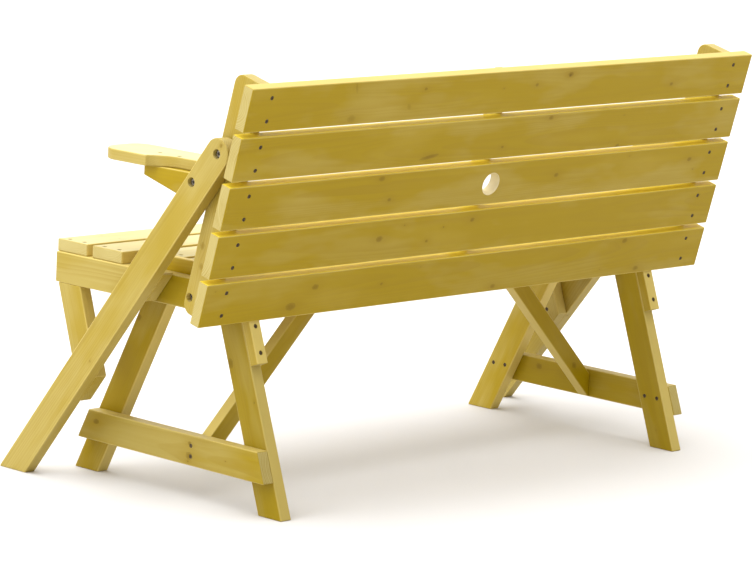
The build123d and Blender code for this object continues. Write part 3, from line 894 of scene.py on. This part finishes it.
def bolt_jig(length: float) -> Jig:
    """Socket-head bolts whose heads' tops are at their seats.

    Args:
        length: of the shank, under the head.

    Returns:
        The tree.
    """
    jig = Jig("bolts", {"Head Radius": 0.0065, "Head Height": BOLT_HEAD, "Shank Radius": 0.004,
                        "Length": length, "Socket Radius": 0.0034, "Socket Depth": 0.0030,
                        "Chamfer": 0.0007, "Thread Length": 0.014})
    tall, shank = jig["Head Height"], jig["Shank Radius"]
    rim = jig["Head Radius"] - jig["Chamfer"]
    head = jig.cut("INTERSECT", jig.rod(jig["Head Radius"], -tall, 0.0),
                   jig.cone(rim + tall + OVERLAP, rim - OVERLAP, -tall - OVERLAP, OVERLAP))
    socket = jig.rod(jig["Socket Radius"], -jig["Socket Depth"], OVERLAP, sides=6)
    head = jig.cut("DIFFERENCE", head, socket)
    end = -tall - jig["Length"]
    plain_end = end + jig["Thread Length"]
    rod = jig.rod(shank, plain_end - OVERLAP, -tall + OVERLAP / 2.0, sides=24)
    thread = jig.threaded(shank, end, plain_end, pitch=0.00125, groove=0.0006)
    jig.close(jig.node("GeometryNodeJoinGeometry", {0: [head, rod, thread]}))
    return jig


def drilled(jig: Jig, solid: Signal, half: Signal) -> Jig:
    """Drill a jig's solid right through by its Bore, and finish the jig.

    Args:
        jig: the tree.
        solid: the solid about the origin.
        half: half its height.

    Returns:
        The tree.
    """
    bore = jig.rod(jig["Bore"], -half - OVERLAP, half + OVERLAP)
    jig.close(jig.cut("DIFFERENCE", solid, bore))
    return jig


def nut_jig() -> Jig:
    """Hexagon nuts with turned corners, their middles at their seats."""
    jig = Jig("nuts", {"Across Flats": 0.013, "Height": 0.0065, "Bore": 0.00402,
                       "Chamfer": 0.0009})
    half = jig["Height"] / 2.0
    corner = jig["Across Flats"] / (2.0 * math.cos(math.pi / 6.0))
    rim = corner - jig["Chamfer"]
    prism = jig.rod(corner, -half, half, sides=6)
    upper = jig.cone(rim + half * 3.4 + OVERLAP, rim - OVERLAP, -half - OVERLAP, half + 0.0006)
    lower = jig.node("GeometryNodeTransform", {"Geometry": upper, "Rotation": (math.pi, 0.0, 0.0)})
    return drilled(jig, jig.cut("INTERSECT", prism, upper, lower), half)


def washer_jig() -> Jig:
    """Flat washers, their middles at their seats."""
    jig = Jig("washers", {"Radius": 0.0084, "Bore": 0.0042, "Thickness": 0.0016})
    half = jig["Thickness"] / 2.0
    return drilled(jig, jig.rod(jig["Radius"], -half, half), half)


@dataclass(frozen=True)
class Fasteners:
    """The fasteners that ride with one body, rebuilt in place of their solids.

    Bolted are the names that its bolts, nuts and washers share.
    """

    body: str
    bolted: Tuple[str, ...]
    seed: int

    def fit(self, piece: bpy.types.Object, nodes: Sequence[str]) -> None:
        """Hand a finished piece to its body.

        Args:
            piece: the piece.
            nodes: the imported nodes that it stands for.
        """
        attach(piece, self.body)
        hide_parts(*nodes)
        LOG.info("%s rides on %s", piece.name, self.body)

    def build(self, screw_steel: bpy.types.Material, zinc: bpy.types.Material) -> None:
        """Make the screws, bolts, nuts and washers.

        Args:
            screw_steel: the screws' finish.
            zinc: the finish of everything else.
        """
        node = self.body + "_screws"
        screws = Solids(node)
        short: List[Seat] = []
        long: List[Seat] = []
        for seat, group in zip(screws.seats(), screws.groups):
            reach = max((vertex - seat.point).length for vertex in group)
            (short if reach < LONG_FROM else long).append(seat)
        pieces = [screw_jig(SHORT_SCREW).run(node + "_cross_head", short, screw_steel, self.seed)]
        if long:
            more = screw_jig(LONG_SCREW).run(node + "_long", long, screw_steel, self.seed + 7)
            pieces.append(more)
            with bpy.context.temp_override(active_object=pieces[0],
                                           selected_editable_objects=pieces):
                bpy.ops.object.join()
        self.fit(pieces[0], [node])
        for name in self.bolted:
            node = name + "_bolts"
            bolts = Solids(node)
            ends = [abs(point.x) for point in bolts.groups[0]]
            jig = bolt_jig(max(ends) - min(ends) - BOLT_HEAD)
            self.fit(jig.run(node + "_socket_head", bolts.seats(), zinc, self.seed + 1),
                     [node])
        for jig, kind, look, extra in ((nut_jig(), "_nuts", "_hexagon_nuts", 2),
                                       (washer_jig(), "_washers", "_flat_washers", 3)):
            nodes = [name + kind for name in self.bolted]
            seats = [seat for node in nodes for seat in Solids(node).middles()]
            self.fit(jig.run(self.body + look, seats, zinc, self.seed + extra), nodes)


# --- sub-assemblies ---
def seat_slats(half: str, seeds: Iterator[int]) -> List[Board]:
    """The two seat slats of the rear or the front half-bench, with painted light on their upper
    faces.
    """
    return [Board(f"{half}_seat_slat_{number}", X, Z, Cut.FLAT, next(seeds), top_light=0.4)
            for number in (1, 2)]


@dataclass
class RearBench:
    """The half-bench that stands still, with its placed knots by board."""

    fasteners: Fasteners = Fasteners("rear_bench", ("base_pivot",), 11)
    front_leg_lean: float = 26.6
    rear_leg_lean: float = -19.75
    first_seed: int = 100
    marks: Dict[str, Tuple[Knot, ...]] = field(default_factory=lambda: {
        "cross_rail_left": (Knot(0.055, -0.008, 0.0065, 1.2), Knot(0.055, 0.016, 0.0030)),
        "cross_rail_right": (Knot(-0.115, 0.014, 0.0055, 1.3), Knot(-0.040, 0.013, 0.0045)),
        "rear_bench_rear_leg_left": (Knot(0.065, 0.024, 0.0060, 1.3),),
        "rear_bench_front_leg_right": (Knot(0.030, 0.004, 0.0030),),
        "diagonal_brace_right": (Knot(-0.160, 0.004, 0.0050, 1.4),)})

    def boards(self) -> List[Board]:
        """Every board with its timber."""
        front, rear = lean(self.front_leg_lean), lean(self.rear_leg_lean)
        found = []
        seeds = count(self.first_seed)
        for index, (side, inward) in enumerate(zip(SIDES, (-X, X))):
            # Name, grain, thickness, cut, then the stain and the tone of left and of right.
            # Besides the wood's own colour, they paint the shade that each board stands in and the
            # light on others.
            rows = (("rear_bench_front_leg", front, X, Cut.RIFT, (0.85, 0.95), (0.55, 1.12)),
                    ("rear_bench_rear_leg", rear, X, Cut.FLAT, (1.05, 0.76), (1.15, 0.82)),
                    ("cross_rail", Y, X, Cut.FLAT, (0.60, 0.84), (1.1, 0.88)),
                    ("rear_seat_rail", Y, X, Cut.RIFT, (0.80, 0.90), (0.80, 0.90)),
                    ("backrest_stop", rear, X, Cut.QUARTER, (0.70, 0.95), (0.70, 0.95)),
                    ("diagonal_brace", inward + Z, Y, Cut.FLAT, (0.75, 0.95), (1.2, 0.95)),
                    ("rear_seat_batten", Y, X, Cut.RIFT, (0.80, 0.90), (0.80, 0.90)),
                    ("rear_seat_end", Y, X, Cut.FLAT, (0.75, 1.25), (0.75, 1.25)))
            for name, along, through, cut, *shades in rows:
                stain, tone = shades[index]
                node = f"{name}_{side}"
                found.append(Board(node, along, through, cut, next(seeds), tone=tone,
                                   stain=stain, marks=self.marks.get(node, ())))
        return found + seat_slats("rear", seeds)


@dataclass(frozen=True)
class Slat:
    """A slat of the top: its stain, placed knots, painted light on its edges, and bore."""

    stain: float
    marks: Tuple[Knot, ...]
    edge: float = 0.85
    lit_in_gaps: bool = True
    bore: float = 0.0


@dataclass
class Tabletop:
    """The top that stands up as the backrest, its slats named from the highest down."""

    fasteners: Fasteners = Fasteners("tabletop", ("joint",), 21)
    recline: float = 14.5
    slat_tone: float = 0.97
    slat_knots: float = 0.16
    first_seed: int = 200
    first_frame_seed: int = 220
    slats: Tuple[Slat, ...] = (
        Slat(1.02, edge=0.6, lit_in_gaps=False, marks=(
            Knot(0.428, -0.028, 0.0022, 5.0, -1.25, 0.5), Knot(-0.458, 0.011, 0.0034),
            Knot(0.424, 0.032, 0.0060, 1.5, 0.0, 0.6), Knot(0.245, -0.016, 0.0028),
            Knot(0.279, 0.017, 0.0040, 1.5, -0.8, 0.5), Knot(-0.060, -0.008, 0.0032),
            Knot(-0.150, -0.025, 0.0040, 1.6))),
        Slat(0.92, (
            Knot(0.191, 0.028, 0.0036, 6.0, 0.15), Knot(-0.125, -0.031, 0.0040, 1.4),
            Knot(-0.006, 0.021, 0.0026))),
        Slat(0.94, bore=0.022, marks=(
            Knot(0.304, -0.030, 0.0046, 1.5), Knot(0.271, 0.014, 0.0034, 1.3),
            Knot(-0.183, -0.003, 0.0040, 1.4), Knot(-0.578, -0.009, 0.0040, 1.5))),
        Slat(1.06, (
            Knot(0.272, -0.001, 0.0055, 1.4), Knot(0.141, 0.014, 0.0028),
            Knot(0.027, -0.020, 0.0040, 1.3))),
        Slat(1.06, (
            Knot(0.412, -0.011, 0.0050, 1.5), Knot(0.236, -0.001, 0.0026),
            Knot(0.465, 0.023, 0.0070, 1.6), Knot(-0.500, 0.033, 0.0045, 1.6),
            Knot(-0.080, 0.033, 0.0040, 1.5))))
    upright_marks: Tuple[Knot, ...] = (Knot(-0.098, 0.020, 0.0050, dark=0.7),
                                       Knot(-0.135, 0.012, 0.0045, dark=0.7))

    def boards(self) -> List[Board]:
        """Every board with its timber."""
        up = lean(self.recline)
        front = up.cross(X)
        found = [Board(f"top_slat_{index + 1}", X, front, Cut.FLAT, self.first_seed + index,
                       tone=self.slat_tone, knots=self.slat_knots, **vars(slat))
                 for index, slat in enumerate(self.slats)]
        seeds = count(self.first_frame_seed)
        for side in SIDES:
            found.append(Board(f"upright_{side}", up, X, Cut.RIFT, next(seeds),
                               marks=self.upright_marks))
            # The swing arms' low tone and full stain paint the shade they stand in.
            found.append(Board(f"swing_arm_{side}", Y, X, Cut.FLAT, next(seeds), tone=0.80,
                               stain=1.0))
        return found + [Board(f"top_batten_{name}", up, X, Cut.QUARTER, next(seeds))
                        for name in ("upper", "lower")]


@dataclass
class FrontBench:
    """The half-bench that is lifted across."""

    fasteners: Fasteners = Fasteners("front_bench", ("top_pivot", "armrest"), 31)
    long_leg_lean: float = 38.05
    short_leg_lean: float = -18.8
    tone: float = 0.97
    stain: float = 0.26
    long_leg_marks: Tuple[Knot, ...] = (Knot(0.437, 0.004, 0.0030),)
    first_seed: int = 300

    def boards(self) -> List[Board]:
        """Every board with its timber."""
        # The brackets' full stain is painted shade; edge light and top light are painted light.
        rows = (("long_leg", lean(self.long_leg_lean), X, Cut.RIFT,
                 {"edge": 0.0, "marks": self.long_leg_marks}),
                ("front_seat_rail", Y, X, Cut.FLAT, {"edge": 0.45}),
                ("short_leg", lean(self.short_leg_lean), X, Cut.RIFT, {"edge": 0.45}),
                ("armrest_bracket", Y, X, Cut.FLAT, {"edge": 0.0, "stain": 1.0}),
                ("armrest", Y, Z, Cut.FLAT, {"edge": 0.0, "top_light": 0.55}))
        seeds = count(self.first_seed)
        found = [Board(f"{name}_{side}", along, through, cut, next(seeds), tone=self.tone,
                       **{"stain": self.stain, **traits})
                 for side in SIDES for name, along, through, cut, traits in rows]
        found += seat_slats("front", seeds)
        found.append(Board("front_seat_batten", Y, X, Cut.RIFT, next(seeds)))
        return found


# --- studio ---
@dataclass(frozen=True)
class Lamp:
    """A soft lamp far away: its side, how wide it looks in degrees, its power and its light."""

    name: str
    place: Tuple[float, float, float]
    spread: float
    power: float
    colour: Tuple[float, float, float]

    def build(self) -> None:
        """Hang the lamp, facing the bench."""
        data = bpy.data.lights.new(self.name, "SUN")
        data.energy = self.power
        data.color = self.colour
        data.angle = math.radians(self.spread)
        lamp = placed(self.name, data)
        lamp.location = self.place
        lamp.rotation_euler = (-Vector(self.place)).to_track_quat("-Z", "Y").to_euler()


@dataclass
class Studio:
    """Pale floor, soft light and the camera, whose angles are in degrees."""

    eye: Tuple[float, float, float] = (5.427, 5.192, 1.599)
    turn: float = 43.83
    pitch: float = 9.51
    roll: float = 2.82
    lens: float = 188.2
    sensor: float = 36.0
    floor_reach: float = 30.0
    floor_colours: Tuple[Colour, Colour] = (rgb(0.66, 0.64, 0.60), rgb(0.69, 0.67, 0.63))
    sky_colour: Colour = rgb(0.98, 0.98, 1.0)
    dark_side: Tuple[float, float, float] = (-0.25, 0.97, 0.0)
    lamps: Tuple[Lamp, ...] = (
        Lamp("overhead", (0.6, -0.3, 4.2), 70.0, 2.8, (0.99, 1.0, 1.05)),
        Lamp("side", (4.6, -1.0, 2.4), 40.0, 1.0, (0.88, 0.97, 1.22)))

    def floor(self) -> None:
        """A wide pale floor."""
        mesh = bpy.data.meshes.new("studio_floor")
        far = self.floor_reach
        mesh.from_pydata([(-far, -far, 0), (far, -far, 0), (far, far, 0), (-far, far, 0)], [],
                         [(0, 1, 2, 3)])
        paint = Paint("pale_floor")
        speck = paint.noise(paint.place(), scale=3.0, detail=4.0)
        shade = paint.blend(speck, *self.floor_colours)
        mesh.materials.append(paint.finish({"Base Color": shade}, None, Roughness=0.9,
                                           Specular_IOR_Level=0.1))
        placed("studio_floor", mesh)

    def sky(self) -> None:
        """A sky that is brighter above and dimmer on the dark side."""
        world = bpy.data.worlds.new("studio_sky")
        bpy.context.scene.world = world
        world.use_nodes = True
        sky = world.node_tree.nodes["Background"]
        sky.inputs["Color"].default_value = self.sky_colour
        graph = Graph(world.node_tree)
        facing = graph.node("ShaderNodeTexCoord", output="Generated")
        dark = graph.dot(facing, self.dark_side).step(-0.1, 0.8)
        high = graph.dot(facing, Z).step(0.1, 0.9)
        glow = 1.05 + high * 0.35 - dark * (0.7 - high * 0.5)
        world.node_tree.links.new(glow.socket, sky.inputs["Strength"])

    def camera(self) -> None:
        """The camera, from behind and to the sitter's left."""
        turn, pitch, roll = (math.radians(value) for value in (self.turn, self.pitch, self.roll))
        look = -Vector((math.cos(turn) * math.cos(pitch), math.sin(turn) * math.cos(pitch),
                        math.sin(pitch)))
        level = Vector((-math.sin(turn), math.cos(turn), 0.0))
        over = level.cross(look)
        right = level * math.cos(roll) + over * math.sin(roll)
        top = over * math.cos(roll) - level * math.sin(roll)
        data = bpy.data.cameras.new("camera")
        data.lens = self.lens
        data.sensor_width = self.sensor
        data.sensor_fit = "HORIZONTAL"
        camera = placed("camera", data)
        axes = Matrix((right, top, -look)).transposed().to_4x4()
        camera.matrix_world = Matrix.Translation(self.eye) @ axes
        bpy.context.scene.camera = camera

    def build(self) -> None:
        """Floor, sky, lamps and camera."""
        bpy.context.scene.view_settings.view_transform = "Standard"
        self.floor()
        self.sky()
        for lamp in self.lamps:
            lamp.build()
        self.camera()
        LOG.info("studio built")


def main() -> None:
    """Dress the bench, build its fasteners and the studio."""
    logging.basicConfig(level=logging.INFO, format="%(name)s: %(message)s")
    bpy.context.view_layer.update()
    pine = StainedPine()
    screw_steel = Plating("bronzed_steel", rgb(0.095, 0.058, 0.018), rgb(0.040, 0.024, 0.008),
                          metallic=0.35, rough=(0.45, 0.62)).make()
    zinc = Plating("zinc_plating", rgb(0.36, 0.33, 0.28), rgb(0.20, 0.18, 0.15)).make()
    for assembly in (RearBench(), Tabletop(), FrontBench()):
        for board in assembly.boards():
            pine.dress(board)
            LOG.info("%s dressed", board.node)
        assembly.fasteners.build(screw_steel, zinc)
    nylon = Nylon().make()
    for node in ("base_pivot_spacers", "top_pivot_spacers"):
        put_on(node, nylon)
        LOG.info("%s dressed", node)
    Studio().build()


if __name__ == "__main__":
    main()
